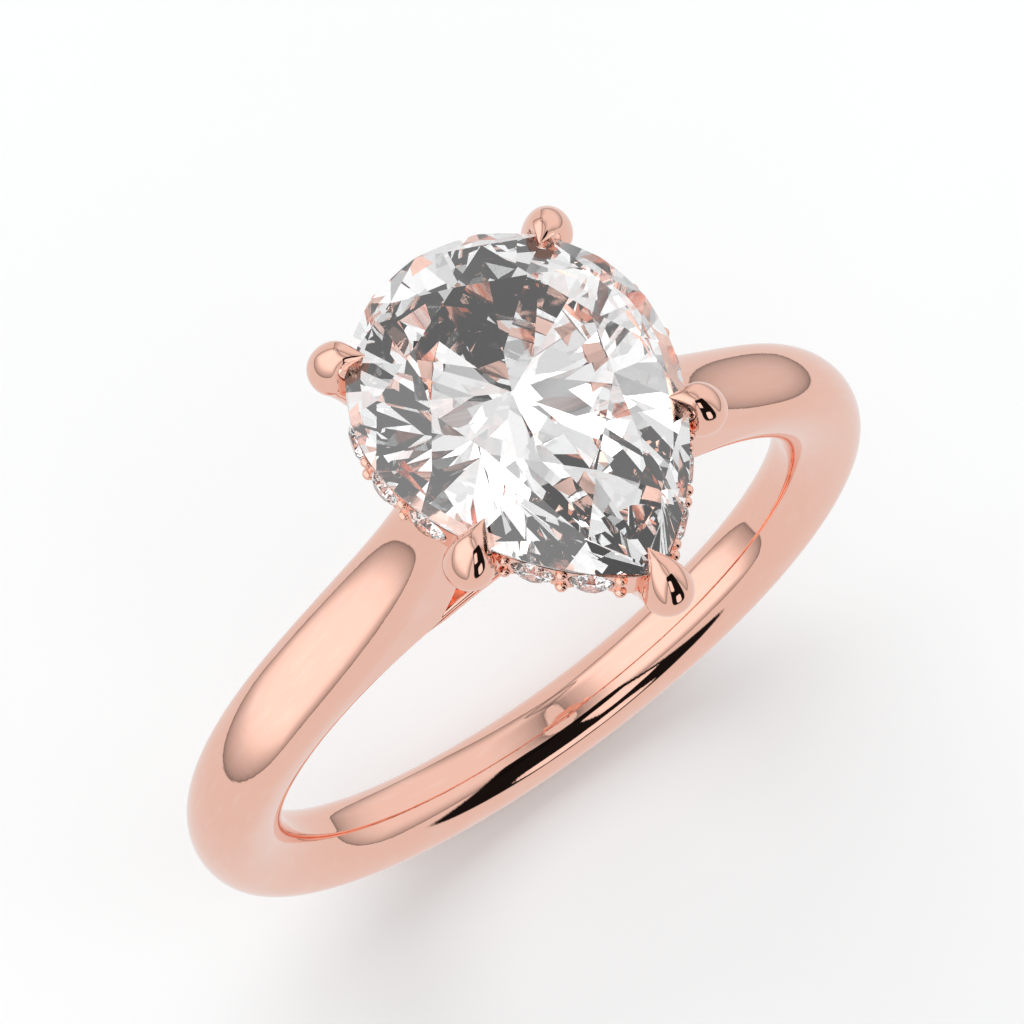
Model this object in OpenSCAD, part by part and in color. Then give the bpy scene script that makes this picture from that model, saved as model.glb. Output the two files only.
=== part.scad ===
// Rose gold engagement ring: a pear-cut centre stone in five teardrop claws, a hidden halo of small
// round stones under its edge, and cathedral shoulders that rise from a comfort-fit band.
// Frame: origin at the centre of the finger hole, +Y along the finger, +Z up through the centre stone.
// The pear's point looks along -Y.

/* [Finger hole] */
// Radius of the finger hole
finger_r = 8.25; // [7.2:0.05:10.5]

/* [Band] */
// Width of the band along the finger
band_w = 2.29; // [1.9:0.01:2.9]
// Radial thickness of the band
band_t = 2.35; // [1.95:0.01:2.85]
// Depth of the rounded inner part of the band's section
inner_dome = 1.4; // [1.1:0.01:1.6]
// Width of the flat that touches the finger
land_w = 0.4; // [0.2:0.01:0.6]
// Radial thickness of the finger rail that closes the hole under the head
rail_t = 0.85; // [0.7:0.01:1.05]

/* [Shoulders] */
// Half the length of the open gap between the two shoulders, along X
gap_half = 3.3; // [2.8:0.05:3.8]
// Clearance between each shoulder's top end and the centre stone's pavilion
arm_clear = 0.01; // [0.01:0.01:0.1]
// Thickness of each shoulder's top end along X
arm_end_t = 0.67; // [0.55:0.01:0.85]
// Width of each shoulder's top end along Y
arm_end_w = 1.35; // [1.1:0.05:2]

/* [Centre stone] */
// Height of the girdle's middle above the finger hole's top
stone_lift = 6.35; // [5.6:0.05:7.6]
// Width of the pear
stone_w = 7.17; // [5.95:0.01:8.6]
// Length of the round head, from the widest line to the round end
head_l = 3.71; // [3.05:0.01:4.5]
// Length of the wings, from the widest line to the point
wing_l = 5.4; // [4.5:0.01:6.5]
// Place of the pear's widest line along Y
widest_y = 0.6; // [0.3:0.05:0.9]
// Height of the crown above the girdle
crown_h = 1.05; // [0.85:0.01:1.3]
// Thickness of the girdle
girdle_t = 0.16; // [0.12:0.01:0.24]
// Depth of the pavilion under the girdle, to where its facets would meet
pavilion_d = 3.05; // [2.6:0.01:3.4]
// Size of the table as a share of the girdle
table_share = 0.58; // [0.52:0.01:0.64]

/* [Claws] */
// Diameter of a claw at its rounded head
claw_d = 1.08; // [0.9:0.01:1.2]
// Diameter of a claw at its foot
foot_d = 0.8; // [0.65:0.01:0.9]
// Distance of a claw's head outside the girdle
claw_out = 0.3; // [0.25:0.01:0.4]
// Depth of a claw's head below the girdle's middle
claw_drop = 0.38; // [0.25:0.01:0.45]
// Reach of a claw's point over the stone's edge
claw_reach = 0.24; // [0.15:0.01:0.35]
// Height of a claw's point above the girdle's middle
point_h = 0.42; // [0.34:0.01:0.5]
// Diameter of a claw's point
point_d = 0.2; // [0.14:0.01:0.26]

/* [Halo] */
// Diameter of a halo stone
melee_d = 0.94; // [0.8:0.01:0.98]
// Distance that a halo stone's table stands proud of the rail
melee_proud = 0.1; // [0.04:0.01:0.12]
// Height of the halo rail
halo_h = 1.02; // [1:0.01:1.2]
// Thickness of the halo rail's wall
halo_t = 0.75; // [0.62:0.01:0.85]
// Gap between the girdle's underside and the halo rail
halo_gap = 0.04; // [0.02:0.01:0.08]
// Extra space beside each rear claw
rear_space = 0.4; // [0.3:0.05:0.5]
// Halo stones round the head, between the rear claws
head_stones = 4; // [4]
// Halo stones on each side, between the rear and the wing claw
side_stones = 3; // [3]
// Halo stones on each side, between the wing and the point claw
wing_stones = 2; // [2]
// Diameter of a bead that holds the halo stones
bead_d = 0.3; // [0.24:0.01:0.34]

/* [Base rail] */
// Length of the base rail's middle line, from the widest line to the round end
base_head_l = 2.2; // [1.9:0.05:2.6]
// Length of the base rail's middle line, from the widest line to the point
base_wing_l = 2.3; // [1.9:0.05:2.7]
// Width of the base rail's middle line
base_w = 3.9; // [3.3:0.05:4.3]
// Place of the base rail's widest line along Y
base_y = 0.75; // [0.5:0.05:1]
// Width of the base rail's metal
base_wall = 0.9; // [0.8:0.01:1]
// Height of the base rail above the finger rail
base_h = 0.7; // [0.55:0.01:0.9]
// Depth of the saddle in the base rail's underside
saddle = 0.25; // [0.15:0.01:0.3]

/* [Hidden] */
GOLD = [0.91, 0.66, 0.57];
STONE = [0.9, 0.93, 0.97];
FINE = 96;
ROUND = 48;
REACH = 30;

outer_r = finger_r + band_t;
widest_r = finger_r + inner_dome;
rail_r = finger_r + rail_t;
outer_dome = band_t - inner_dome;
seat_z = sqrt(rail_r * rail_r - gap_half * gap_half);

girdle_z = finger_r + stone_lift;
girdle_top = girdle_z + girdle_t / 2;
girdle_low = girdle_z - girdle_t / 2;
halo_top = girdle_low - halo_gap;
halo_low = halo_top - halo_h;
melee_z = (halo_top + halo_low) / 2;
base_top = rail_r + base_h;

// The pear's outline: a half ellipse for the head, and two bowed wings that close in the point.
WING_BOW = 1.79;
WING_END = 0.768;
STEPS = 12;
function head_point(w, head, a) = [w / 2 * sin(a), head * cos(a)];
function wing_point(w, wing, s) = [w / 2 * pow(1 - pow(s, WING_BOW), WING_END), -wing * s];
function half_pear(w, head, wing) = concat(
    [for (i = [0:STEPS]) head_point(w, head, 90 * i / STEPS)],
    [for (i = [1:STEPS]) wing_point(w, wing, sin(90 * i / STEPS))]
);
function pear(w, head, wing) = concat(
    half_pear(w, head, wing),
    [for (i = [2 * STEPS - 1:-1:1]) let (p = half_pear(w, head, wing)[i]) [-p.x, p.y]]
);

// Distance travelled along half of an outline, from the round end to the point.
function travel(line) = [
    for (i = 0, s = 0; i < len(line); s = s + (i + 1 < len(line) ? norm(line[i + 1] - line[i]) : 0), i = i + 1) s
];
function along(line, dist, s) = [
    lookup(s, [for (i = [0:len(line) - 1]) [dist[i], line[i].x]]),
    lookup(s, [for (i = [0:len(line) - 1]) [dist[i], line[i].y]])
];
function outward(line, dist, s) = let (
    step = along(line, dist, s + 0.05) - along(line, dist, s - 0.05)
) step.y == 0 && step.x == 0 ? [0, -1] : [-step.y, step.x] / norm(step);

GIRDLE = half_pear(stone_w, head_l, wing_l);
GIRDLE_S = travel(GIRDLE);
HALF_TURN = GIRDLE_S[len(GIRDLE_S) - 1];
BASE = half_pear(base_w, base_head_l, base_wing_l);
BASE_S = travel(BASE);
BASE_TURN = BASE_S[len(BASE_S) - 1];

// Places of the rear and the wing claws, as shares of the half outline from its round end.
REAR = 0.24;
WING = 0.68;
claw_rear_s = REAR * HALF_TURN;
claw_wing_s = WING * HALF_TURN;
round_pitch = 2 * claw_rear_s / (head_stones + 1);
side_pitch = (claw_wing_s - claw_rear_s - rear_space) / (side_stones + 1);

// Halo stones on one side, as travel from the round end. The other side mirrors them.
MELEE_S = concat(
    [for (i = [0:head_stones / 2 - 1]) (i + 0.5) * round_pitch],
    [for (i = [side_stones:-1:1]) claw_wing_s - i * side_pitch],
    [for (i = [1:wing_stones]) claw_wing_s + i * side_pitch]
);
// Bead places on one side: in the gaps between the halo stones, and beside the wing and point claws.
BEAD_S = concat(
    [for (i = [0:head_stones / 2 - 1]) i * round_pitch],
    [for (i = [1:side_stones - 1]) claw_wing_s - (i + 0.5) * side_pitch],
    [for (i = [0:wing_stones]) claw_wing_s + (i + 0.5) * side_pitch]
);
HALF_COUNT = len(MELEE_S);

// Half of the band's section: x is the distance from the finger's axis, y is along the finger.
function band_side() = concat(
    [for (i = [0:12]) let (a = 90 * i / 12)
        [widest_r - inner_dome * cos(a), land_w / 2 + (band_w - land_w) / 2 * sin(a)]],
    [for (i = [1:12]) let (a = 90 * i / 12)
        [widest_r + outer_dome * sin(a), band_w / 2 * cos(a)]]
);
function band_section() = let (side = band_side(), n = len(side)) concat(
    side,
    [for (i = [n - 2:-1:0]) [side[i].x, -side[i].y]]
);

// A bar along the finger with the given outline in the XZ plane.
module along_finger(width) {
    rotate([90, 0, 0])
        translate([0, 0, -width / 2])
            linear_extrude(width)
                children();
}

module finger_rail_tube() {
    rotate([90, 0, 0])
        cylinder(r = rail_r, h = REACH, center = true, $fn = FINE);
}

// Closed comfort-fit band. Its top is cut down to the thin finger rail, with a flat on each side
// that the shoulders are soldered to.
module shank() {
    color(GOLD)
        difference() {
            rotate([90, 0, 0])
                rotate_extrude($fn = FINE)
                    polygon(band_section());
            difference() {
                translate([-REACH / 2, -REACH / 2, seat_z])
                    cube(REACH);
                finger_rail_tube();
            }
        }
}

// The shoulder's top end stands just outside the pavilion, at the level of the halo rail's underside.
pavilion_x = stone_w / 2 * (1 - (girdle_low - halo_low) / pavilion_d);
arm_inner_x = pavilion_x + arm_clear;
ridge_top_x = arm_inner_x + arm_end_t;

// The shoulder's ridge is an arc that leaves the band tangentially where the seat meets its outside.
start_angle = asin(seat_z / outer_r);
top_point = [ridge_top_x, halo_low];
start_dir = [cos(start_angle), sin(start_angle)];
ridge_sum = (top_point * top_point - outer_r * outer_r) / (2 * (top_point * start_dir - outer_r));
ridge_r = ridge_sum - outer_r;
ridge_centre = start_dir * ridge_sum;
ridge_end = atan2(ridge_centre.y - top_point.y, ridge_centre.x - top_point.x);
// Share of the shoulder's height over which its inner edge leans in from the finger rail.
WEB_RISE = 0.32;

function arm_outline() = concat(
    [for (i = [0:ROUND / 2]) let (a = start_angle + (ridge_end - start_angle) * i * 2 / ROUND)
        ridge_centre - ridge_r * [cos(a), sin(a)]],
    [[arm_inner_x, halo_low],
     [arm_inner_x, seat_z + (halo_low - seat_z) * WEB_RISE],
     [gap_half, seat_z]]
);
// Section of a shoulder across its ridge, seen from the ridge arc's centre.
function arm_section() = concat(
    [for (i = [0:16]) let (a = 180 * i / 16)
        [ridge_r + outer_dome * (1 - sin(a)), -band_w / 2 * cos(a)]],
    [[ridge_r + REACH / 3, band_w / 2], [ridge_r + REACH / 3, -band_w / 2]]
);

module shoulder() {
    color(GOLD)
        difference() {
            intersection() {
                along_finger(band_w)
                    polygon(arm_outline());
                translate([ridge_centre.x, 0, ridge_centre.y])
                    rotate([90, 0, 0])
                        rotate_extrude($fn = FINE)
                            polygon(arm_section());
                linear_extrude(REACH)
                    polygon([
                        [arm_inner_x - 0.1, -arm_end_w / 2],
                        [ridge_top_x, -arm_end_w / 2],
                        [outer_r * cos(start_angle), -band_w / 2],
                        [outer_r * cos(start_angle), band_w / 2],
                        [ridge_top_x, arm_end_w / 2],
                        [arm_inner_x - 0.1, arm_end_w / 2]
                    ]);
            }
            finger_rail_tube();
            claw_body(WING);
        }
}

module shoulder_right() {
    shoulder();
}

module shoulder_left() {
    mirror([1, 0, 0])
        shoulder();
}

// Pear-shaped foot of the head. It sits astride the finger rail.
module base_rail() {
    low = rail_r - saddle;
    color(GOLD)
        difference() {
            translate([0, base_y, low])
                linear_extrude(base_top - low)
                    difference() {
                        polygon(pear(base_w + base_wall, base_head_l + base_wall / 2, base_wing_l + base_wall / 2));
                        polygon(pear(base_w - base_wall, base_head_l - base_wall / 2, base_wing_l - base_wall / 2));
                    }
            finger_rail_tube();
        }
}

// Facets shared by every stone: where the stars and the lower halves end, the culet's size and the
// thickness of the slabs that the facets span.
STAR_REACH = 0.55;
HALF_REACH = 0.25;
CULET = 0.03;
SLAB = 0.01;

// Sites of the eight main facets, as shares of the half outline. Four claws stand at REAR and WING.
SIDE_SITE = 0.46;
function site_point(share) = share >= 1 ? [0, -wing_l] : along(GIRDLE, GIRDLE_S, share * HALF_TURN);
function site_dir(share) = share >= 1 ? [0, -1] : share <= 0 ? [0, 1] :
    outward(GIRDLE, GIRDLE_S, share * HALF_TURN);
function support(share) = site_point(share) * site_dir(share);
function flip(v) = [-v.x, v.y];
RIGHT_MAINS = [for (share = [0, REAR, SIDE_SITE, WING, 1]) [site_point(share), site_dir(share)]];
MAINS = concat(RIGHT_MAINS, [for (i = [3:-1:1]) [flip(RIGHT_MAINS[i][0]), flip(RIGHT_MAINS[i][1])]]);

// Where the tangents of two neighbouring main facets cross.
function corner(a, b) = let (
    da = a[0] * a[1],
    db = b[0] * b[1],
    det = a[1].x * b[1].y - a[1].y * b[1].x
) [da * b[1].y - db * a[1].y, db * a[1].x - da * b[1].x] / det;

// A slab of a cut stone, with its top at the given height.
module layer(top, points, thick = SLAB) {
    translate([0, 0, top - thick])
        linear_extrude(thick)
            polygon(points);
}

// A brilliant-cut stone with the top of its girdle at z = 0: a table, eight main facets with stars
// between them, a girdle with the given outline, eight pavilion mains and a culet.
module brilliant(outline, mains, table, crown, girdle, pavilion) {
    star = STAR_REACH * table + 1 - STAR_REACH;
    half = HALF_REACH;
    n = len(mains);
    hull() {
        layer(crown, [for (m = mains) m[0] * table]);
        layer(crown * (1 - star) / (1 - table),
            [for (i = [0:n - 1]) star * corner(mains[i], mains[(i + 1) % n])]);
        layer(0, outline, girdle);
        layer(SLAB - girdle - pavilion * (1 - half),
            [for (i = [0:n - 1]) half * corner(mains[i], mains[(i + 1) % n])]);
        layer(SLAB - girdle - pavilion * (1 - CULET), [for (m = mains) m[0] * CULET]);
    }
}

module centre_stone() {
    color(STONE)
        translate([0, widest_y, girdle_top])
            brilliant(pear(stone_w, head_l, wing_l), MAINS, table_share, crown_h, girdle_t, pavilion_d);
}

// Where a claw stands: the girdle's edge, the outward direction and the foot on the base rail.
function claw_edge(share) = site_point(share) + [0, widest_y];
function claw_foot(share) = let (
    p = share >= 1 ? [0, -base_wing_l] : along(BASE, BASE_S, share * BASE_TURN)
) [p.x, p.y + base_y, base_top];
function claw_head(share) = let (
    p = claw_edge(share) + claw_out * site_dir(share)
) [p.x, p.y, girdle_z - claw_drop];
function claw_tip(share) = let (
    p = claw_edge(share) - claw_reach * site_dir(share)
) [p.x, p.y, girdle_z + point_h];

// Stands its child at one point with the child's +Z looking at another.
module aim(from, to) {
    v = to - from;
    translate(from)
        rotate([0, acos(v.z / norm(v)), atan2(v.y, v.x)])
            children();
}

// A tapered wire with a round head, and the point that leans inwards from the head.
module claw_body(share) {
    foot = claw_foot(share);
    head = claw_head(share);
    tip = claw_tip(share);
    start = foot - 0.15 * (head - foot);
    stem = norm(head - start);
    aim(start, head)
        rotate_extrude($fn = ROUND)
            polygon(concat(
                [[0, 0], [foot_d / 2, 0]],
                [for (i = [0:8]) [claw_d / 2 * cos(i * 90 / 8), stem + claw_d / 2 * sin(i * 90 / 8)]]
            ));
    aim(head, tip)
        cylinder(d1 = claw_d * 0.86, d2 = point_d, h = norm(tip - head), $fn = ROUND);
}

// Section of the stone's edge at a claw: x is the distance from the stone's axis, y is the height.
module claw_notch(share) {
    d = support(share);
    deep = 2;
    translate([0, widest_y, 0])
        rotate([0, 0, atan2(site_dir(share).y, site_dir(share).x)])
            rotate([90, 0, 0])
                translate([0, 0, -REACH / 2])
                    linear_extrude(REACH)
                        polygon([
                            [d, girdle_low],
                            [d, girdle_top],
                            [d - deep, girdle_top + deep * crown_h / (d * (1 - table_share))],
                            [d - deep, girdle_low - deep * pavilion_d / d]
                        ]);
}

// One claw, notched to the stone's edge and cut flat where it stands on the base rail.
module claw(share, side) {
    color(GOLD)
        mirror([side < 0 ? 1 : 0, 0, 0])
            difference() {
                claw_body(share);
                claw_notch(share);
                translate([-REACH / 2, -REACH / 2, base_top - REACH])
                    cube(REACH);
            }
}

module claw_point() {
    claw(1, 1);
}

module claw_wing_left() {
    claw(WING, -1);
}

module claw_wing_right() {
    claw(WING, 1);
}

module claw_rear_left() {
    claw(REAR, -1);
}

module claw_rear_right() {
    claw(REAR, 1);
}

// Puts its child at a place on the halo rail's outer face, with the child's +Z pointing outwards.
module on_halo(s, side, z) {
    p = along(GIRDLE, GIRDLE_S, s);
    n = s <= 0 ? [0, 1] : outward(GIRDLE, GIRDLE_S, s);
    mirror([side < 0 ? 1 : 0, 0, 0])
        translate([p.x, p.y + widest_y, z])
            rotate([0, 0, atan2(n.y, n.x)])
                rotate([0, 90, 0])
                    children();
}

// Proportions of a small round brilliant, as shares of its diameter.
MELEE_CROWN = 0.15;
MELEE_GIRDLE = 0.05;
MELEE_PAVILION = 0.37;
MELEE_TABLE = 0.56;
SIDES = 8;

// Seat of a halo stone: a straight hole for its crown and girdle, and a cone for its pavilion.
module melee_seat() {
    depth = melee_d * (MELEE_CROWN + MELEE_GIRDLE);
    translate([0, 0, -depth])
        cylinder(d = melee_d, h = depth + 1, $fn = ROUND);
    translate([0, 0, -depth - melee_d * MELEE_PAVILION])
        cylinder(d1 = 0.02, d2 = melee_d, h = melee_d * MELEE_PAVILION + 0.001, $fn = ROUND);
}

// A round brilliant with its table at z = 0 and its culet below.
module melee() {
    translate([0, 0, -melee_d * MELEE_CROWN])
        brilliant(
            [for (i = [0:2 * SIDES - 1]) melee_d / 2 * [cos(180 * i / SIDES), sin(180 * i / SIDES)]],
            [for (i = [0:SIDES - 1]) let (
                n = [cos(360 * i / SIDES), sin(360 * i / SIDES)]
            ) [melee_d / 2 * n, n]],
            MELEE_TABLE,
            melee_d * MELEE_CROWN,
            melee_d * MELEE_GIRDLE,
            melee_d * MELEE_PAVILION
        );
}

module halo_stone(i, side) {
    color(STONE)
        on_halo(MELEE_S[i - 1], side, melee_z)
            translate([0, 0, melee_proud])
                melee();
}

// Pear-shaped wall under the girdle. Its inner top is bevelled to the stone's underside. It has a
// seat for each halo stone, and is notched to the claws.
module halo_rail() {
    color(GOLD)
        difference() {
            translate([0, widest_y, halo_low])
                linear_extrude(halo_h)
                    difference() {
                        polygon(pear(stone_w, head_l, wing_l));
                        polygon(pear(stone_w - 2 * halo_t, head_l - halo_t, wing_l - halo_t * 1.7));
                    }
            pavilion_space();
            for (s = MELEE_S)
                for (side = [-1, 1])
                    on_halo(s, side, melee_z)
                        translate([0, 0, melee_proud])
                            melee_seat();
            for (share = [REAR, WING])
                for (side = [0, 1])
                    mirror([side, 0, 0])
                        claw_body(share);
            claw_body(1);
        }
}

// The room under the girdle that the stone's pavilion fills, bounded by its eight main facets.
module pavilion_space() {
    translate([0, widest_y, girdle_low])
        difference() {
            translate([-stone_w, -wing_l - 1, -pavilion_d])
                cube([2 * stone_w, head_l + wing_l + 2, pavilion_d]);
            for (m = MAINS)
                rotate([0, 0, atan2(m[1].y, m[1].x)])
                    translate([m[0] * m[1], 0, 0])
                        rotate([0, 180 - atan2(pavilion_d, m[0] * m[1]), 0])
                            translate([-REACH / 2, -REACH / 2, 0])
                                cube([REACH, REACH, REACH / 2]);
        }
}

// Grains that hold the halo stones, in pairs on the halo rail's outer face.
module halo_beads() {
    color(GOLD)
        difference() {
            for (s = BEAD_S)
                for (side = s <= 0 ? [1] : [-1, 1])
                    for (lift = [-1, 1])
                        on_halo(s, side, melee_z + lift * (halo_h - bead_d) / 2)
                            sphere(d = bead_d, $fn = ROUND);
            translate([0, widest_y, halo_low - 1])
                linear_extrude(halo_h + 2)
                    polygon(pear(stone_w, head_l, wing_l));
        }
}

shank();
shoulder_left();
shoulder_right();
base_rail();
halo_rail();
halo_beads();
centre_stone();
claw_point();
claw_wing_left();
claw_wing_right();
claw_rear_left();
claw_rear_right();
for (i = [1:HALF_COUNT]) {
    halo_stone(i, -1);
    halo_stone(i, 1);
}
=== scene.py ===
import math
import random

import bmesh
import bpy
import numpy as np
from mathutils import Matrix, Vector


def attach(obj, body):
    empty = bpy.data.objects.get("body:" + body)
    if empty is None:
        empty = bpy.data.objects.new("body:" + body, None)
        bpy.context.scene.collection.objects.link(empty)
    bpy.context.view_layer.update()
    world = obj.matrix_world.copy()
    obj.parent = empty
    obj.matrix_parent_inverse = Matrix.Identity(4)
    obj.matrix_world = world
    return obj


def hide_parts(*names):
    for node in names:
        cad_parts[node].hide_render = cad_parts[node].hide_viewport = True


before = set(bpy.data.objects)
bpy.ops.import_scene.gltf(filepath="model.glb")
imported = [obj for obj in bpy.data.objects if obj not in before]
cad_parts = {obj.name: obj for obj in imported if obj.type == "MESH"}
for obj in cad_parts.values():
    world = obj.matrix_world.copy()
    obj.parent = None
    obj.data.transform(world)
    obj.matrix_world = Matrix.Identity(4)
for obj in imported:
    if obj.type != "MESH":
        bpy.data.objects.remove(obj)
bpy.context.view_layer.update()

random.seed(7)
MM = 0.001

# ---------------------------------------------------------------- sizes of the ring, in millimetres
FINGER_R = 8.25
BAND_W = 2.29
INNER_DOME = 1.4
OUTER_DOME = 0.95
LAND_W = 0.4
WIDEST_R = FINGER_R + INNER_DOME
OUTER_R = WIDEST_R + OUTER_DOME
RAIL_R = FINGER_R + 0.85

STONE_W, HEAD_L, WING_L, WIDEST_Y = 7.17, 3.71, 5.4, 0.6
CROWN_H, GIRDLE_T, PAVILION_D, TABLE = 1.05, 0.16, 3.05, 0.58
GIRDLE_Z = FINGER_R + 6.35
GIRDLE_TOP = GIRDLE_Z + GIRDLE_T / 2
GIRDLE_LOW = GIRDLE_Z - GIRDLE_T / 2

HALO_GAP = 0.04
HALO_H = 1.02
HALO_T = 0.75
HALO_TOP = GIRDLE_LOW - HALO_GAP
HALO_LOW = HALO_TOP - HALO_H
MELEE_D = 0.94
MELEE_PROUD = 0.1
MELEE_Z = (HALO_TOP + HALO_LOW) / 2
BEAD_D = 0.3

BASE_W, BASE_HEAD, BASE_WING, BASE_Y, BASE_WALL = 3.9, 2.2, 2.3, 0.75, 0.9
BASE_TOP = RAIL_R + 0.7
SADDLE = 0.25

# Places of the claws and of the stone's side facets, as shares of half the outline from its round end.
REAR, WING, SIDE_SITE = 0.24, 0.68, 0.46
REAR_SPACE = 0.4


# ---------------------------------------------------------------- mesh helpers
def make_object(name, verts, faces, smooth_angle=None):
    """A mesh object from points in millimetres. smooth_angle: edges sharper than this stay sharp."""
    mesh = bpy.data.meshes.new(name)
    mesh.from_pydata([tuple(v) for v in np.asarray(verts) * MM], [], [tuple(f) for f in faces])
    mesh.validate()
    bm = bmesh.new()
    bm.from_mesh(mesh)
    bmesh.ops.recalc_face_normals(bm, faces=bm.faces)
    bm.to_mesh(mesh)
    bm.free()
    if smooth_angle is not None:
        mesh.shade_smooth()
        mesh.set_sharp_from_angle(angle=math.radians(smooth_angle))
    thing = bpy.data.objects.new(name, mesh)
    bpy.context.scene.collection.objects.link(thing)
    return thing


def loft(name, rings, closed_path=False, smooth_angle=40):
    """Skins closed rings of equal length. An open path gets a flat cap at each end."""
    rings = np.asarray(rings)
    count, size = rings.shape[:2]
    faces = []
    spans = count if closed_path else count - 1
    for i in range(spans):
        a, b = i * size, ((i + 1) % count) * size
        for j in range(size):
            k = (j + 1) % size
            faces.append((a + j, a + k, b + k, b + j))
    if not closed_path:
        faces.append(tuple(range(size)))
        faces.append(tuple((count - 1) * size + j for j in range(size)))
    return make_object(name, rings.reshape(-1, 3), faces, smooth_angle)


# ---------------------------------------------------------------- the pear's outline
WING_BOW, WING_END = 1.79, 0.768


def pear_half(w, head, wing, steps=400):
    """Half of a pear: a quarter of an ellipse for the head, and a bowed wing that ends in the point."""
    a = np.linspace(0, math.pi / 2, steps)
    top = np.stack([w / 2 * np.sin(a), head * np.cos(a)], 1)
    s = np.sin(np.linspace(0, math.pi / 2, steps))[1:]
    low = np.stack([w / 2 * np.clip(1 - s ** WING_BOW, 0, None) ** WING_END, -wing * s], 1)
    return np.concatenate([top, low])


class Outline:
    """A pear outline, walked by distance from its round end: positive is right, negative is left."""

    def __init__(self, w, head, wing, centre_y):
        self.line = pear_half(w, head, wing)
        step = np.linalg.norm(np.diff(self.line, axis=0), axis=1)
        self.s = np.concatenate([[0], np.cumsum(step)])
        self.half = self.s[-1]
        self.y = centre_y

    def at(self, s):
        """The point at a distance."""
        side = np.sign(s) if s else 1.0
        d = min(abs(s), self.half)
        x = np.interp(d, self.s, self.line[:, 0])
        y = np.interp(d, self.s, self.line[:, 1])
        return np.array([side * x, y + self.y])

    def out(self, s):
        """The outward direction."""
        side = np.sign(s) if s else 1.0
        d = abs(s)
        if d < 1e-6:
            return np.array([0.0, 1.0])
        if d > self.half - 0.02:
            return np.array([0.0, -1.0])
        step = 0.03
        a = self.at(max(d - step, 0.0))
        b = self.at(min(d + step, self.half))
        t = (b - a) / np.linalg.norm(b - a)
        return np.array([-t[1] * side, t[0]])


GIRDLE = Outline(STONE_W, HEAD_L, WING_L, WIDEST_Y)
BASE = Outline(BASE_W, BASE_HEAD, BASE_WING, BASE_Y)
HALF = GIRDLE.half
REAR_S, WING_S = REAR * HALF, WING * HALF
ROUND_PITCH = 2 * REAR_S / 5
SIDE_PITCH = (WING_S - REAR_S - REAR_SPACE) / 4
# Halo stones and beads on one side, by distance from the round end. The other side mirrors them.
MELEE_S = ([(i + 0.5) * ROUND_PITCH for i in range(2)]
           + [WING_S + i * SIDE_PITCH for i in (-3, -2, -1, 1, 2)])
BEAD_S = ([i * ROUND_PITCH for i in range(2)]
          + [WING_S + i * SIDE_PITCH for i in (-2.5, -1.5, 0.5, 1.5, 2.5)])


# ---------------------------------------------------------------- band and shoulders
def band_half_width(r):
    """Half the band's width at a distance from the finger's axis."""
    k = np.clip((WIDEST_R - r) / INNER_DOME, 0, 1)
    return LAND_W / 2 + (BAND_W - LAND_W) / 2 * math.sqrt(1 - k * k)


# A shoulder's ridge leaves the band's outside at START from +Z, and ends inside the halo rail. Its inner
# edge runs free of the finger rail from SLIT_T on. SPLIT_T is where the shoulder leaves the shank.
START = math.radians(46)
ARM_TOP = HALO_LOW + 0.1
ARM_TAPER = 0.545
RIDGE_FOOT = OUTER_R * np.array([math.sin(START), math.cos(START)])
RIDGE_TOP = np.array([3.1, ARM_TOP])
RIDGE = [RIDGE_FOOT, RIDGE_FOOT + 2.4 * np.array([-math.cos(START), math.sin(START)]),
         RIDGE_TOP - 2.6 * np.array([-0.15, 0.99]), RIDGE_TOP]
INNER = [np.array([2.75, 9.15]), np.array([2.25, 9.35]), np.array([2.3, ARM_TOP])]
SLIT_T = 0.48
SPLIT_T = 0.22
ARM_SUNK = 0.02
SIDE_STEPS = 14


def bezier(points, t):
    a, b, c, d = points
    u = 1 - t
    return u ** 3 * a + 3 * u * u * t * b + 3 * u * t * t * c + t ** 3 * d


def bezier_dir(points, t):
    a, b, c, d = points
    u = 1 - t
    v = 3 * (u * u * (b - a) + 2 * u * t * (c - b) + t * t * (d - c))
    return v / np.linalg.norm(v)


def arm_root(t, depth):
    """Where the ridge's normal at t meets the finger rail."""
    p = bezier(RIDGE, t)
    tangent = bezier_dir(RIDGE, t)
    n = np.array([-tangent[1], tangent[0]])
    if n @ p > 0:
        n = -n
    r = RAIL_R - depth
    b = p @ n
    return p + n * (-b - math.sqrt(b * b - (p @ p - r * r)))


def arm_half_width(t):
    return BAND_W / 2 - ARM_TAPER * t ** 2.3


def arm_ring(t, root, rounding):
    """Outer part of a section: up one side, over the ridge, and down the other. Points are x, y, z."""
    p = bezier(RIDGE, t)
    depth = np.linalg.norm(root - p)
    u = (root - p) / depth
    w = arm_half_width(t)
    dome = min(OUTER_DOME, 0.66 * depth)
    pts = []
    for k in np.linspace(0, 1, SIDE_STEPS):
        d = depth + (dome - depth) * k
        q = p + u * d
        y = w if rounding else min(w, band_half_width(np.linalg.norm(q)))
        over = d - (depth - rounding)
        if rounding > 0 and over > 0:
            y -= rounding * (1 - math.sqrt(max(0.0, 1 - (over / rounding) ** 2)))
        pts.append((q[0], y, q[1]))
    for a in np.linspace(0, math.pi, 61)[1:-1]:
        q = p + u * dome * (1 - math.sin(a))
        pts.append((q[0], w * math.cos(a), q[1]))
    return pts + [(x, -y, z) for x, y, z in reversed(pts[:SIDE_STEPS])]


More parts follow.
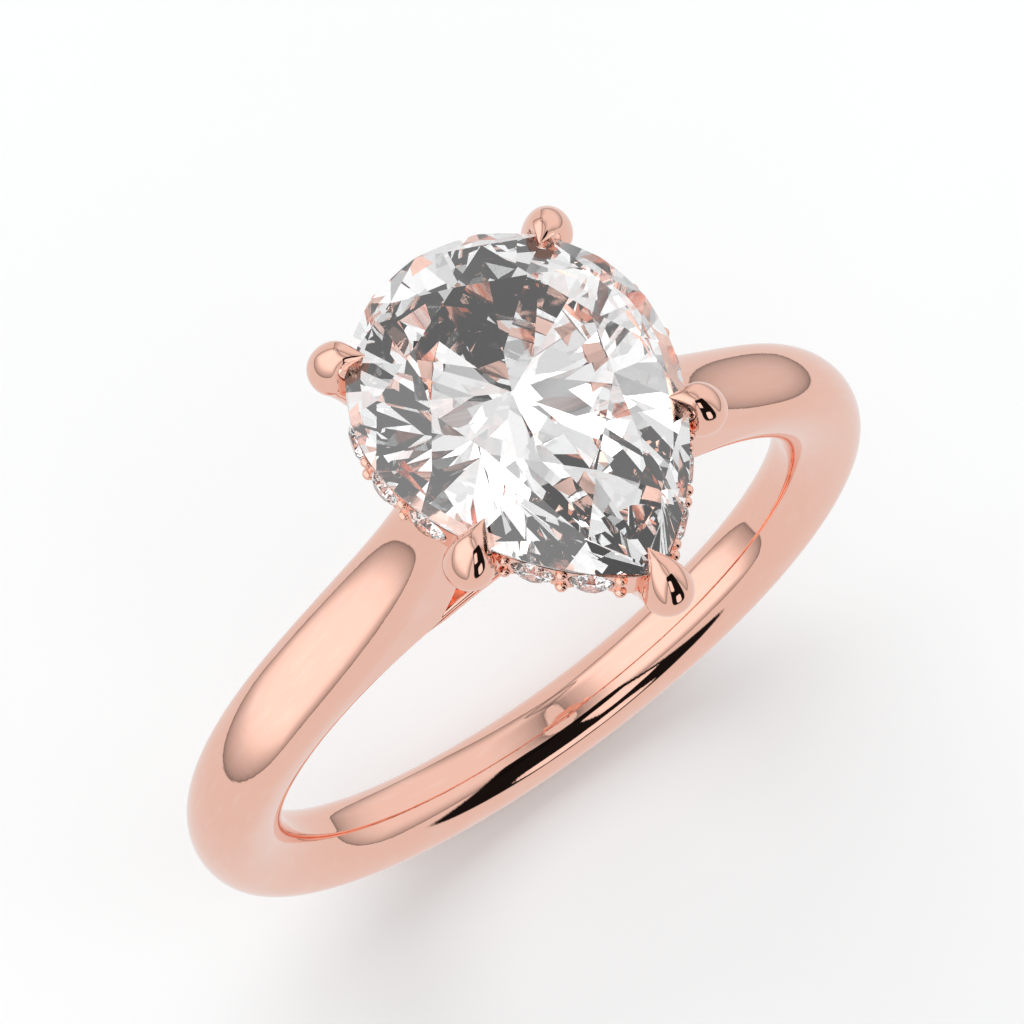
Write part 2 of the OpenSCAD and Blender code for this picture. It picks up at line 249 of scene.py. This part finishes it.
def inner_ring(theta):
    """Inner part of the band's section at an angle from +Z: from -Y over the land to +Y."""
    a0 = math.acos((WIDEST_R - RAIL_R) / INNER_DOME)
    pts = []
    for a in np.linspace(-a0, a0, 61):
        r = WIDEST_R - INNER_DOME * math.cos(a)
        y = (LAND_W / 2 + (BAND_W - LAND_W) / 2 * math.sin(abs(a))) * (1 if a >= 0 else -1)
        pts.append((r * math.sin(theta), y, r * math.cos(theta)))
    return pts[1:-1]


def rail_outer(theta, count, edge):
    """The finger rail's flat top, from +Y to -Y, with its edges rounded where they are free."""
    y0 = band_half_width(RAIL_R)
    pts = []
    for k in np.linspace(0, 1, count):
        y = y0 * math.cos(math.pi * k)
        over = abs(y) - (y0 - edge)
        drop = edge * (1 - math.sqrt(max(0.0, 1 - (over / edge) ** 2))) if edge > 0 and over > 0 else 0
        r = RAIL_R - drop
        pts.append((r * math.sin(theta), y, r * math.cos(theta)))
    return pts


def build_shank():
    full = arm_ring(0.0, arm_root(0.0, 0), 0)
    side = []
    for t in np.linspace(SPLIT_T, 0, 24):
        root = arm_root(t, 0)
        side.append(arm_ring(t, root, 0) + inner_ring(math.atan2(root[0], root[1])))
    rings = list(side)
    for theta in np.linspace(START, 2 * math.pi - START, 480)[1:-1]:
        turn = theta - START
        c, s = math.cos(turn), math.sin(turn)
        rings.append([(x * c + z * s, y, -x * s + z * c) for x, y, z in full] + inner_ring(theta))
    rings += [[(-x, y, z) for x, y, z in ring] for ring in reversed(side)]
    # The finger rail closes the hole. Its edges are square under the shoulders and rounded between them.
    split = arm_root(SPLIT_T, 0)
    split_theta = math.atan2(split[0], split[1])
    free, fade = math.radians(24), math.radians(3)
    for theta in np.linspace(-split_theta, split_theta, 160):
        edge = 0.16 * min(1.0, max(0.0, (free - abs(theta)) / fade))
        rings.append(rail_outer(theta, len(full), edge) + inner_ring(theta))
    return loft("shank_polished", rings, closed_path=True, smooth_angle=32)


def build_shoulder(name, side):
    free_from = arm_root(SLIT_T, ARM_SUNK)
    rings = []
    for t in np.concatenate([np.linspace(SPLIT_T, SLIT_T, 40), np.linspace(SLIT_T, 1, 90)[1:]]):
        if t <= SLIT_T:
            root, rounding = arm_root(t, ARM_SUNK), 0.0
        else:
            k = (t - SLIT_T) / (1 - SLIT_T)
            root = bezier([free_from] + INNER, k)
            rounding = 0.02 + 0.13 * min(1.0, k * 5)
        ring = arm_ring(t, root, rounding)
        last, first = np.array(ring[-1]), np.array(ring[0])
        ring += [tuple(last * (1 - k) + first * k) for k in np.linspace(0, 1, 14)[1:-1]]
        rings.append([(side * x, y, z) for x, y, z in ring])
    return loft(name, rings, smooth_angle=32)


# ---------------------------------------------------------------- cut stones
def points_and_faces(bm):
    """A finished bmesh's points and faces. It frees the bmesh."""
    verts = [v.co.copy() for v in bm.verts]
    bm.verts.index_update()
    faces = [[v.index for v in f.verts] for f in bm.faces]
    bm.free()
    return verts, faces


def cut_stone(name, planes, size):
    """A convex stone from facet planes: (point, outward normal), in millimetres."""
    bm = bmesh.new()
    bmesh.ops.create_cube(bm, size=size)
    for point, normal in planes:
        geom = bm.verts[:] + bm.edges[:] + bm.faces[:]
        out = bmesh.ops.bisect_plane(bm, geom=geom, dist=1e-6, plane_co=point, plane_no=normal,
                                     clear_outer=True)
        rim = [e for e in out["geom_cut"] if isinstance(e, bmesh.types.BMEdge)]
        if len(rim) > 2:
            bmesh.ops.contextual_create(bm, geom=rim)
    bmesh.ops.remove_doubles(bm, verts=bm.verts, dist=1e-5)
    bmesh.ops.recalc_face_normals(bm, faces=bm.faces)
    return points_and_faces(bm)


def three_point(a, b, c):
    """The plane through three points of a stone, with its normal looking away from the stone's middle."""
    a, b, c = Vector(a), Vector(b), Vector(c)
    n = (b - a).cross(c - a).normalized()
    inside = Vector((0, 0, -0.3))
    if n.dot(inside - a) > 0:
        n = -n
    return a, n


STAR_SHARE = 0.55
LOWER_SHARE = 0.22
CULET_DEPTH = 0.992


def brilliant_planes(sites, mids, table, crown, girdle, pavilion, wall):
    """Facet planes of a brilliant: sites are (point, outward direction) of the mains, mids the outline
    points between them, wall the outline's tangents. The girdle's top is at z = 0."""
    star = STAR_SHARE * table + (1 - STAR_SHARE)
    n = len(sites)
    corners = []
    for i in range(n):
        (pa, na), (pb, nb) = sites[i], sites[(i + 1) % n]
        det = na[0] * nb[1] - na[1] * nb[0]
        da, db = pa @ na, pb @ nb
        corners.append(np.array([da * nb[1] - db * na[1], db * na[0] - da * nb[0]]) / det)
    planes = [((0, 0, crown), (0, 0, 1)), ((0, 0, -girdle - pavilion * CULET_DEPTH), (0, 0, -1))]
    planes += [((p[0], p[1], 0), (d[0], d[1], 0)) for p, d in wall]
    star_z = crown * (1 - star) / (1 - table)
    for i in range(n):
        p, d = sites[i]
        h = p @ d
        rise = crown / (h * (1 - table))
        planes.append(((p[0], p[1], 0), Vector((d[0] * rise, d[1] * rise, 1)).normalized()))
        sink = pavilion / h
        planes.append(((p[0], p[1], -girdle), Vector((d[0] * sink, d[1] * sink, -1)).normalized()))
        q = sites[(i + 1) % n][0]
        tip = (*(corners[i] * star), star_z)
        planes.append(three_point((*(p * table), crown), (*(q * table), crown), tip))
        deep = (*(corners[i] * LOWER_SHARE), -girdle - pavilion * (1 - LOWER_SHARE))
        for end in (p, q):
            planes.append(three_point((*end, 0), (*mids[i], 0), tip))
            planes.append(three_point((*end, -girdle), (*mids[i], -girdle), deep))
    return planes


def centre_stone_mesh():
    def site(share, side=1):
        s = share * HALF * side
        return GIRDLE.at(s) - np.array([0, WIDEST_Y]), GIRDLE.out(s)

    shares = [0, REAR, SIDE_SITE, WING, 1]
    sites = [site(share) for share in shares] + [site(share, -1) for share in shares[3:0:-1]]
    between = [0.5 * (a + b) for a, b in zip(shares, shares[1:])]
    mids = [site(share)[0] for share in between] + [site(share, -1)[0] for share in reversed(between)]
    tangents = np.linspace(0, 0.999, 70)
    wall = [site(share) for share in tangents] + [site(share, -1) for share in tangents[1:]]
    planes = brilliant_planes(sites, mids, TABLE, CROWN_H, GIRDLE_T, PAVILION_D, wall)
    return cut_stone("centre", planes, 30)


def melee_mesh():
    r = MELEE_D / 2

    def site(turn):
        d = np.array([math.cos(turn), math.sin(turn)])
        return r * d, d

    sites = [site(2 * math.pi * i / 8) for i in range(8)]
    mids = [site(2 * math.pi * (i + 0.5) / 8)[0] for i in range(8)]
    wall = [site(2 * math.pi * i / 48) for i in range(48)]
    crown, girdle, pavilion = 0.15 * MELEE_D, 0.05 * MELEE_D, 0.37 * MELEE_D
    verts, faces = cut_stone("melee", brilliant_planes(sites, mids, 0.56, crown, girdle, pavilion, wall), 4)
    return [v - Vector((0, 0, crown)) for v in verts], faces


def place_on_halo(s, z):
    """Frame on the halo rail's outer face, with +Z pointing outwards."""
    p, n = GIRDLE.at(s), GIRDLE.out(s)
    out = Vector((n[0], n[1], 0))
    up = Vector((0, 0, 1))
    side = up.cross(out)
    m = Matrix((side, up, out)).transposed().to_4x4()
    m.translation = Vector((p[0], p[1], z))
    return m


# ---------------------------------------------------------------- claws
# A claw's bulb, brow and tip: distance outside the stone's edge, height above the girdle's middle, radius.
BULB = (0.34, -0.36, 0.575)
BROW = (0.13, 0.26, 0.37)
TIP = (-0.42, 0.47, 0.012)
STEM_R = 0.4


def claw_path(share, side):
    """Points along a claw from its foot on the base rail to its tip, and the radius at each."""
    s = share * HALF * side
    out = np.array([*GIRDLE.out(s), 0])
    edge = np.array([*GIRDLE.at(s), GIRDLE_Z])
    foot_xy = [0, -BASE_WING + BASE_Y] if share >= 1 else BASE.at(share * BASE.half * side)
    foot = np.array([*foot_xy, BASE_TOP])
    bulb, brow, tip = [edge + reach * out + np.array([0, 0, lift]) for reach, lift, _ in (BULB, BROW, TIP)]
    lean = (bulb - foot) / np.linalg.norm(bulb - foot)
    path = [foot - lean * 0.05, foot + lean * 1.6, bulb - lean * 1.2, bulb - lean * 0.35, bulb, brow, tip]
    radii = [STEM_R, STEM_R, 0.45, 0.54, BULB[2], BROW[2], TIP[2]]
    return np.array(path), np.array(radii), out


def spline(points, count):
    """Catmull-Rom curve through points, sampled evenly by parameter."""
    pts = np.asarray(points, float)
    pts = np.concatenate([[2 * pts[0] - pts[1]], pts, [2 * pts[-1] - pts[-2]]])
    out = []
    spans = len(pts) - 3
    for g in np.linspace(0, spans, count):
        i = min(int(g), spans - 1)
        u = g - i
        a, b, c, d = pts[i:i + 4]
        out.append(0.5 * (2 * b + (c - a) * u + (2 * a - 5 * b + 4 * c - d) * u * u
                          + (3 * b - a - 3 * c + d) * u ** 3))
    return np.array(out)


def build_claw(name, share, side):
    path, radii, out3 = claw_path(share, side)
    data = spline(np.column_stack([path, radii]), 110)
    line, rad = data[:, :3], np.clip(data[:, 3], TIP[2], None)
    s = share * HALF * side
    edge, out = GIRDLE.at(s), GIRDLE.out(s)
    support = (edge - np.array([0, WIDEST_Y])) @ out
    cross = np.cross(out3, [0, 0, 1.0])
    rings = []
    for p, t, r in zip(line, np.gradient(line, axis=0), rad):
        t = t / np.linalg.norm(t)
        a = cross - t * (cross @ t)
        a /= np.linalg.norm(a)
        b = np.cross(t, a)
        ring = [p + r * (math.cos(w) * a + math.sin(w) * b) for w in np.linspace(0, 2 * math.pi, 73)[:-1]]
        rings.append([clear_of_stone(q, edge, out, support) for q in ring])
    return loft(name, rings, smooth_angle=42)


def clear_of_stone(p, edge, out, support):
    """Moves a claw's point that would lie in the stone to the nearest face of the stone's edge."""
    d = (p[0] - edge[0]) * out[0] + (p[1] - edge[1]) * out[1]
    if d >= 0:
        return p
    rise, sink = CROWN_H / (support * (1 - TABLE)), PAVILION_D / support
    over = (GIRDLE_TOP - d * rise - p[2]) / math.hypot(1, rise)
    under = (p[2] - GIRDLE_LOW - d * sink) / math.hypot(1, sink)
    if over <= 0 or under <= 0:
        return p
    if min(over, under, -d) == over:
        n, dist = np.array([rise, 1.0]) / math.hypot(1, rise), over
    elif min(under, -d) == under:
        n, dist = np.array([sink, -1.0]) / math.hypot(1, sink), under
    else:
        n, dist = np.array([1.0, 0.0]), -d
    return p + dist * np.array([out[0] * n[0], out[1] * n[0], n[1]])


# ---------------------------------------------------------------- halo rail and base rail
SEAT_R = MELEE_D / 2 + 0.015
LIP_W = 0.05
LOWER_EDGE_R = 0.08
SCALLOP_HALF, SCALLOP_H = 0.52, 0.24
POINT_STRETCH = 1.6
BEZEL = 0.06


def seat_depth(s, z):
    """How far the halo rail's outer face sinks at a place, for the nearest stone's seat."""
    depth = 0.0
    for site in MELEE_S:
        rho = math.hypot(abs(s) - site, z - MELEE_Z)
        if rho < SEAT_R:
            depth = max(depth, 0.1 + (SEAT_R - rho) * 0.9)
        elif rho < SEAT_R + LIP_W:
            depth = max(depth, 0.05 * (1 - (rho - SEAT_R) / LIP_W))
    return depth


def scalloped_low(d):
    """Height of the halo rail's lower edge. It rises in an arch under the last two stones on each side."""
    low = HALO_LOW
    for site in MELEE_S[-2:]:
        k = abs(d - site) / SCALLOP_HALF
        if k < 1:
            low = max(low, HALO_LOW + SCALLOP_H * (1 - k * k) ** 0.7)
    return low


def inwards(edge, out, distance, z):
    """A point at a distance inside the outline, held at the middle plane where it would cross it."""
    x = edge[0] - out[0] * distance
    return (0.0 if x * edge[0] < 0 else x, edge[1] - out[1] * distance, z)


def build_halo_rail():
    rings = []
    for s in np.linspace(-HALF, HALF, 1500, endpoint=False):
        edge, out = GIRDLE.at(s), GIRDLE.out(s)
        support = max(1.2, (edge - np.array([0, WIDEST_Y])) @ out)
        low = scalloped_low(abs(s))
        reach = HALO_T * min(1.0, 0.4 + 0.6 * (HALF - abs(s)) / POINT_STRETCH)
        ring = []
        for z in np.linspace(low, HALO_TOP, 44):
            pavilion = (GIRDLE_LOW - z) * support / PAVILION_D
            sink = min(seat_depth(s, z), max(0.03, min(reach, pavilion) - BEZEL))
            up = LOWER_EDGE_R - min(z - low, LOWER_EDGE_R)
            sink = max(sink, LOWER_EDGE_R - math.sqrt(max(0.0, LOWER_EDGE_R ** 2 - up ** 2)))
            ring.append((edge[0] - out[0] * sink, edge[1] - out[1] * sink, z))
        inner_low = max(GIRDLE_LOW - reach * PAVILION_D / support - BEZEL, low + 0.05)
        for k in np.linspace(0, 1, 8):
            z = HALO_TOP + (inner_low - HALO_TOP) * k
            ring.append(inwards(edge, out, min(reach, (GIRDLE_LOW - z) * support / PAVILION_D + 0.03), z))
        ring.append(inwards(edge, out, reach, low))
        rings.append(ring)
    return loft("halo_rail_polished", rings, closed_path=True, smooth_angle=35)


def build_base_rail():
    c = 0.12
    half = BASE_WALL / 2
    arc = np.linspace(0, math.pi / 2, 6)
    section = [(half - c + c * math.cos(a), c * math.sin(a) - c, True) for a in arc]
    section += [(c - half - c * math.sin(a), c * math.cos(a) - c, True) for a in arc]
    section += [(c - half - c * math.cos(a), c - c * math.sin(a), False) for a in arc]
    section += [(half - c + c * math.sin(a), c - c * math.cos(a), False) for a in arc]
    rings = []
    for s in np.linspace(-BASE.half, BASE.half, 360, endpoint=False):
        p, out = BASE.at(s), BASE.out(s)
        ring = []
        for off, rise, is_top in section:
            x, y, _ = inwards(p, out, -off, 0)
            bottom = max(math.sqrt(RAIL_R ** 2 - x * x) - 0.04, RAIL_R - SADDLE)
            ring.append((x, y, (BASE_TOP if is_top else bottom) + rise))
        rings.append(ring)
    return loft("base_rail_polished", rings, closed_path=True, smooth_angle=40)


def build_beads():
    bm = bmesh.new()
    for s in BEAD_S:
        for side in ((1,) if s < 0.01 else (-1, 1)):
            for lift in (-1, 1):
                m = place_on_halo(s * side, MELEE_Z + lift * (HALO_H - BEAD_D) / 2 * 0.92)
                m = m @ Matrix.Diagonal((0.95, 0.9, 0.95, 1))
                bmesh.ops.create_icosphere(bm, subdivisions=4, radius=BEAD_D / 2, matrix=m)
    return make_object("halo_beads_polished", *points_and_faces(bm), 60)


# ---------------------------------------------------------------- pieces
def stand_for(piece, node):
    """Puts a visible piece in the place of a CAD node: hides the node and attaches the piece to the root
    body.
    """
    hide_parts(node)
    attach(piece, "root")
    return piece


shank = stand_for(build_shank(), "shank")
shoulder_left = stand_for(build_shoulder("shoulder_left_polished", -1), "shoulder_left")
shoulder_right = stand_for(build_shoulder("shoulder_right_polished", 1), "shoulder_right")
halo_rail = stand_for(build_halo_rail(), "halo_rail")
base_rail = stand_for(build_base_rail(), "base_rail")
beads = stand_for(build_beads(), "halo_beads")
claws = [stand_for(build_claw("claw_point_teardrop", 1.0, 1), "claw_point")]
for label, share in (("wing", WING), ("rear", REAR)):
    for word, side in (("left", -1), ("right", 1)):
        node = f"claw_{label}_{word}"
        claws.append(stand_for(build_claw(node + "_teardrop", share, side), node))

verts, faces = centre_stone_mesh()
centre = make_object("centre_stone_cut", [v + Vector((0, WIDEST_Y, GIRDLE_TOP)) for v in verts], faces)
stand_for(centre, "centre_stone")
melee_verts, melee_faces = melee_mesh()
melees = []
for word, side in (("left", -1), ("right", 1)):
    for i, s in enumerate(MELEE_S, 1):
        spin = Matrix.Rotation(random.uniform(0, 6.28), 4, "Z")
        m = place_on_halo(s * side, MELEE_Z) @ Matrix.Translation((0, 0, MELEE_PROUD)) @ spin
        node = f"halo_stone_{word}_{i}"
        stone = make_object(node + "_cut", [m @ v for v in melee_verts], melee_faces)
        melees.append(stand_for(stone, node))


# ---------------------------------------------------------------- materials
def new_material(name):
    mat = bpy.data.materials.new(name)
    mat.use_nodes = True
    nt = mat.node_tree
    return mat, nt, nt.nodes["Principled BSDF"]


def math_node(nt, op, a, b=None):
    node = nt.nodes.new("ShaderNodeMath")
    node.operation = op
    for socket, value in zip(node.inputs, (a, b)):
        if value is None:
            continue
        if isinstance(value, (int, float)):
            socket.default_value = value
        else:
            nt.links.new(value, socket)
    return node.outputs[0]


def noise(nt, scale, detail, stretch=(1, 1, 1), turn=(0, 0, 0)):
    """Noise over the object's own place, in features per metre."""
    coord = nt.nodes.new("ShaderNodeTexCoord")
    mapping = nt.nodes.new("ShaderNodeMapping")
    mapping.inputs["Scale"].default_value = stretch
    mapping.inputs["Rotation"].default_value = turn
    nt.links.new(coord.outputs["Object"], mapping.inputs["Vector"])
    tex = nt.nodes.new("ShaderNodeTexNoise")
    tex.inputs["Scale"].default_value = scale
    tex.inputs["Detail"].default_value = detail
    nt.links.new(mapping.outputs["Vector"], tex.inputs["Vector"])
    return tex.outputs[0]


def mix_colours(nt, factor, a, b):
    """A colour between a and b. a is a colour or another node's output."""
    node = nt.nodes.new("ShaderNodeMix")
    node.data_type = "RGBA"
    nt.links.new(factor, node.inputs["Factor"])
    if isinstance(a, tuple):
        node.inputs["A"].default_value = (*a, 1)
    else:
        nt.links.new(a, node.inputs["A"])
    node.inputs["B"].default_value = (*b, 1)
    return node.outputs["Result"]


def spread(nt, value, low, high, start=0.35, end=0.65):
    """Stretches a noise's middle values, start to end, over low to high."""
    node = nt.nodes.new("ShaderNodeMapRange")
    node.inputs["From Min"].default_value = start
    node.inputs["From Max"].default_value = end
    node.inputs["To Min"].default_value = low
    node.inputs["To Max"].default_value = high
    nt.links.new(value, node.inputs["Value"])
    return node.outputs[0]


def gold(name, colour, rough, hairlines):
    """Polished rose gold: soft smudges, fine polishing hairlines and a few paler rubbed spots."""
    mat, nt, shader = new_material(name)
    shader.inputs["Metallic"].default_value = 1.0
    deep, light = tuple(c * 0.985 for c in colour), tuple(c * 1.015 for c in colour)
    tone = mix_colours(nt, noise(nt, 420, 3), deep, light)
    rubs = spread(nt, noise(nt, 1100, 6, (1, 5, 1), (0.2, 0.7, 0.4)), 0.0, 0.16, 0.52, 0.72)
    pale = tuple(0.5 * c + 0.48 for c in colour)
    nt.links.new(mix_colours(nt, rubs, tone, pale), shader.inputs["Base Color"])
    smudge = spread(nt, noise(nt, 260, 5), 0.6 * rough, 1.5 * rough)
    grit = spread(nt, noise(nt, 5200, 4), 0.0, 0.35 * rough)
    nt.links.new(math_node(nt, "ADD", smudge, grit), shader.inputs["Roughness"])
    bump = nt.nodes.new("ShaderNodeBump")
    bump.inputs["Strength"].default_value = hairlines
    bump.inputs["Distance"].default_value = 0.000004
    along = noise(nt, 900, 6, (1, 14, 1), (0.3, 0.2, 0.6))
    across = noise(nt, 700, 5, (12, 1, 1), (0, 0.5, 0.2))
    nt.links.new(math_node(nt, "ADD", along, across), bump.inputs["Height"])
    nt.links.new(bump.outputs["Normal"], shader.inputs["Normal"])
    return mat


DIAMOND_IOR = 2.42


def clear_stone(name):
    mat, nt, shader = new_material(name)
    shader.inputs["Transmission Weight"].default_value = 1.0
    shader.inputs["IOR"].default_value = DIAMOND_IOR
    return mat, nt, shader


def diamond(name):
    """Clear stone with the faintest change of tone and the finest polish grain."""
    mat, nt, shader = clear_stone(name)
    tone = mix_colours(nt, noise(nt, 500, 2), (0.985, 0.985, 1.0), (1, 1, 0.99))
    nt.links.new(tone, shader.inputs["Base Color"])
    nt.links.new(spread(nt, noise(nt, 3000, 3), 0.0, 0.004), shader.inputs["Roughness"])
    return mat


def frosted(name):
    """The ground edge round a stone: clear, but grainy."""
    mat, nt, shader = clear_stone(name)
    nt.links.new(spread(nt, noise(nt, 9000, 5), 0.12, 0.4), shader.inputs["Roughness"])
    tone = mix_colours(nt, noise(nt, 6000, 3), (0.93, 0.94, 0.96), (1, 1, 1))
    nt.links.new(tone, shader.inputs["Base Color"])
    return mat


ROSE = (0.94, 0.562, 0.45)
gold_band = gold("rose_gold_polish", ROSE, 0.014, 0.2)
gold_head = gold("rose_gold_head", ROSE, 0.018, 0.12)
clear = diamond("diamond_centre")
clear_small = diamond("diamond_halo")
ground = frosted("diamond_ground_edge")
for piece in (shank, shoulder_left, shoulder_right):
    piece.data.materials.append(gold_band)
for piece in [halo_rail, base_rail, beads] + claws:
    piece.data.materials.append(gold_head)
for piece in melees:
    piece.data.materials.append(clear_small)
centre.data.materials.append(clear)
centre.data.materials.append(ground)
for face in centre.data.polygons:
    if abs(face.normal.z) < 0.01:
        face.material_index = 1

# ---------------------------------------------------------------- camera
AZIMUTH, ELEVATION, ROLL = math.radians(-33.25), math.radians(67.72), math.radians(-2.25)
DISTANCE = 73.73
LENS = 97.47
TARGET = Vector((1.256, 2.704, 1.208))
back = Vector((math.sin(AZIMUTH) * math.cos(ELEVATION), -math.cos(AZIMUTH) * math.cos(ELEVATION),
               math.sin(ELEVATION)))
right = Vector((0, 0, 1)).cross(back).normalized()
up = back.cross(right)
turn = Matrix.Rotation(ROLL, 3, back)
right, up = turn @ right, turn @ up
camera_data = bpy.data.cameras.new("camera")
camera_data.lens = LENS
camera_data.sensor_width = 36
camera_data.clip_start = 0.001
camera_data.clip_end = 10
camera = bpy.data.objects.new("camera", camera_data)
camera.matrix_world = Matrix((right, up, back)).transposed().to_4x4()
camera.location = (TARGET + back * DISTANCE) * MM
bpy.context.scene.collection.objects.link(camera)
bpy.context.scene.camera = camera

# ---------------------------------------------------------------- floor and light
FLOOR_HALF = 900
floor_corners = [(-1, -1), (1, -1), (1, 1), (-1, 1)]
floor_points = [(x * FLOOR_HALF, y * FLOOR_HALF, -OUTER_R) for x, y in floor_corners]
floor = make_object("floor", floor_points, [(0, 1, 2, 3)])
floor_mat, floor_nt, floor_shader = new_material("pale_floor")
paper = mix_colours(floor_nt, noise(floor_nt, 60, 4), (0.912, 0.921, 0.924), (0.92, 0.929, 0.932))
floor_nt.links.new(paper, floor_shader.inputs["Base Color"])
floor_nt.links.new(spread(floor_nt, noise(floor_nt, 300, 3), 0.75, 0.85), floor_shader.inputs["Roughness"])
floor.data.materials.append(floor_mat)
floor.visible_glossy = False

world = bpy.data.worlds.new("studio")
bpy.context.scene.world = world
world.use_nodes = True
sky = world.node_tree
sky_dir = sky.nodes.new("ShaderNodeTexCoord").outputs["Generated"]


def sky_math(op, a, b=None):
    return math_node(sky, op, a, b)


def sky_dot(fixed):
    """How far the sky's direction looks along a fixed one."""
    node = sky.nodes.new("ShaderNodeVectorMath")
    node.operation = "DOT_PRODUCT"
    sky.links.new(sky_dir, node.inputs[0])
    node.inputs[1].default_value = fixed
    return node.outputs["Value"]


def heading(azimuth, elevation):
    """Direction from the ring: azimuth 0 is the pear's point side, 90 is +X."""
    a, e = math.radians(azimuth), math.radians(elevation)
    return Vector((math.sin(a) * math.cos(e), -math.cos(a) * math.cos(e), math.sin(e)))


def panel_distance(azimuth, elevation, half_w, half_h, corner):
    """How far a direction lies outside a rounded rectangle in the studio: negative inside."""
    c = heading(azimuth, elevation)
    a = Vector((0, 0, 1)).cross(c).normalized()
    b = c.cross(a)
    half = sky_math("DIVIDE", 2.0, sky_math("MAXIMUM", sky_math("ADD", sky_dot(c), 1.0), 0.01))
    u = sky_math("ABSOLUTE", sky_math("MULTIPLY", sky_dot(a), half))
    v = sky_math("ABSOLUTE", sky_math("MULTIPLY", sky_dot(b), half))
    w, h = 2 * math.tan(math.radians(half_w) / 2), 2 * math.tan(math.radians(half_h) / 2)
    qu, qv = sky_math("SUBTRACT", u, w - corner), sky_math("SUBTRACT", v, h - corner)
    over_u, over_v = sky_math("MAXIMUM", qu, 0.0), sky_math("MAXIMUM", qv, 0.0)
    square_u, square_v = sky_math("MULTIPLY", over_u, over_u), sky_math("MULTIPLY", over_v, over_v)
    far = sky_math("SQRT", sky_math("ADD", square_u, square_v))
    near = sky_math("MINIMUM", sky_math("MAXIMUM", qu, qv), 0.0)
    return sky_math("SUBTRACT", sky_math("ADD", far, near), corner)


def panel(azimuth, elevation, half_w, half_h, corner, stops):
    """Brightness of a panel by distance from its edge: stops are (distance, brightness)."""
    dist = panel_distance(azimuth, elevation, half_w, half_h, corner)
    ramp = sky.nodes.new("ShaderNodeValToRGB")
    low, high = stops[0][0], stops[-1][0]
    scaled = sky.nodes.new("ShaderNodeMapRange")
    scaled.inputs["From Min"].default_value = low
    scaled.inputs["From Max"].default_value = high
    sky.links.new(dist, scaled.inputs["Value"])
    sky.links.new(scaled.outputs[0], ramp.inputs[0])
    elements = ramp.color_ramp.elements
    for i, (d, value) in enumerate(stops):
        spot = (d - low) / (high - low)
        stop = elements[i] if i < 2 else elements.new(spot)
        stop.position = spot
        stop.color = (value, value, value, 1)
    return ramp.outputs[0]


# Brightness across each kind of panel, as (distance outside its edge, brightness) from its middle outwards.
SIDE_RIM = [(-0.08, 0.62), (-0.02, 0.44), (-0.008, 0.24), (0.012, 1.0)]
LEFT = [(-0.55, 1.5), (-0.38, 1.36), (-0.22, 0.92)] + SIDE_RIM
RIGHT = [(-0.55, 1.12), (-0.38, 1.02), (-0.22, 0.84)] + SIDE_RIM
WINDOW = [(-0.035, 0.012), (0.01, 1.0)]
BOX = [(-0.05, 1.35), (0.0, 1.1), (0.012, 0.0)]
TOP_BOX = [(-0.05, 1.6), (0.0, 1.4), (0.012, 0.0)]
SOFT = [(-0.12, 0.36), (0.02, 1.0)]
METAL_LEVEL = 0.84


def studio(shades, boxes):
    """Even light with darker panels, and bright boxes on top of them."""
    light = panel(*shades[0])
    for args in shades[1:]:
        light = sky_math("MULTIPLY", light, panel(*args))
    for args in boxes:
        light = sky_math("MAXIMUM", light, panel(*args))
    return light


# Panels: azimuth, elevation, half width, half height, all in degrees, then corner radius and brightness.
METAL_PANELS = [(-98, 31, 66, 54, 0.28, LEFT), (100, 28, 64, 54, 0.28, RIGHT), (5, 11, 27, 38, 0.2, WINDOW)]
METAL_BOXES = [(6, -16, 9, 7, 0.08, BOX), (-10, 16, 8, 13, 0.06, BOX)]
REST_PANELS = [(-60, 35, 14, 20, 0.15, SOFT), (75, 40, 16, 18, 0.15, SOFT), (150, 50, 18, 14, 0.15, SOFT),
               (-150, 30, 15, 20, 0.15, SOFT), (10, 25, 12, 22, 0.15, SOFT)]
REST_BOXES = [(-33, 68, 9, 9, 0.1, TOP_BOX)]
on_metal = studio(METAL_PANELS, METAL_BOXES)
on_rest = studio(REST_PANELS, REST_BOXES)
ray = sky.nodes.new("ShaderNodeLightPath")
pick = sky.nodes.new("ShaderNodeMix")
sky.links.new(ray.outputs["Is Glossy Ray"], pick.inputs["Factor"])
sky.links.new(on_rest, pick.inputs["A"])
sky.links.new(sky_math("MULTIPLY", on_metal, METAL_LEVEL), pick.inputs["B"])
sky.links.new(pick.outputs["Result"], sky.nodes["Background"].inputs["Color"])

key_data = bpy.data.lights.new("key", "SUN")
key_data.energy = 0.75
key_data.angle = math.radians(46)
key = bpy.data.objects.new("key", key_data)
key.rotation_euler = heading(170, 58).to_track_quat("Z", "Y").to_euler()
key.visible_glossy = False
bpy.context.scene.collection.objects.link(key)

scene = bpy.context.scene
scene.view_settings.view_transform = "Standard"
scene.cycles.use_denoising = True
scene.cycles.max_bounces = 24
scene.cycles.transmission_bounces = 20
scene.cycles.glossy_bounces = 8
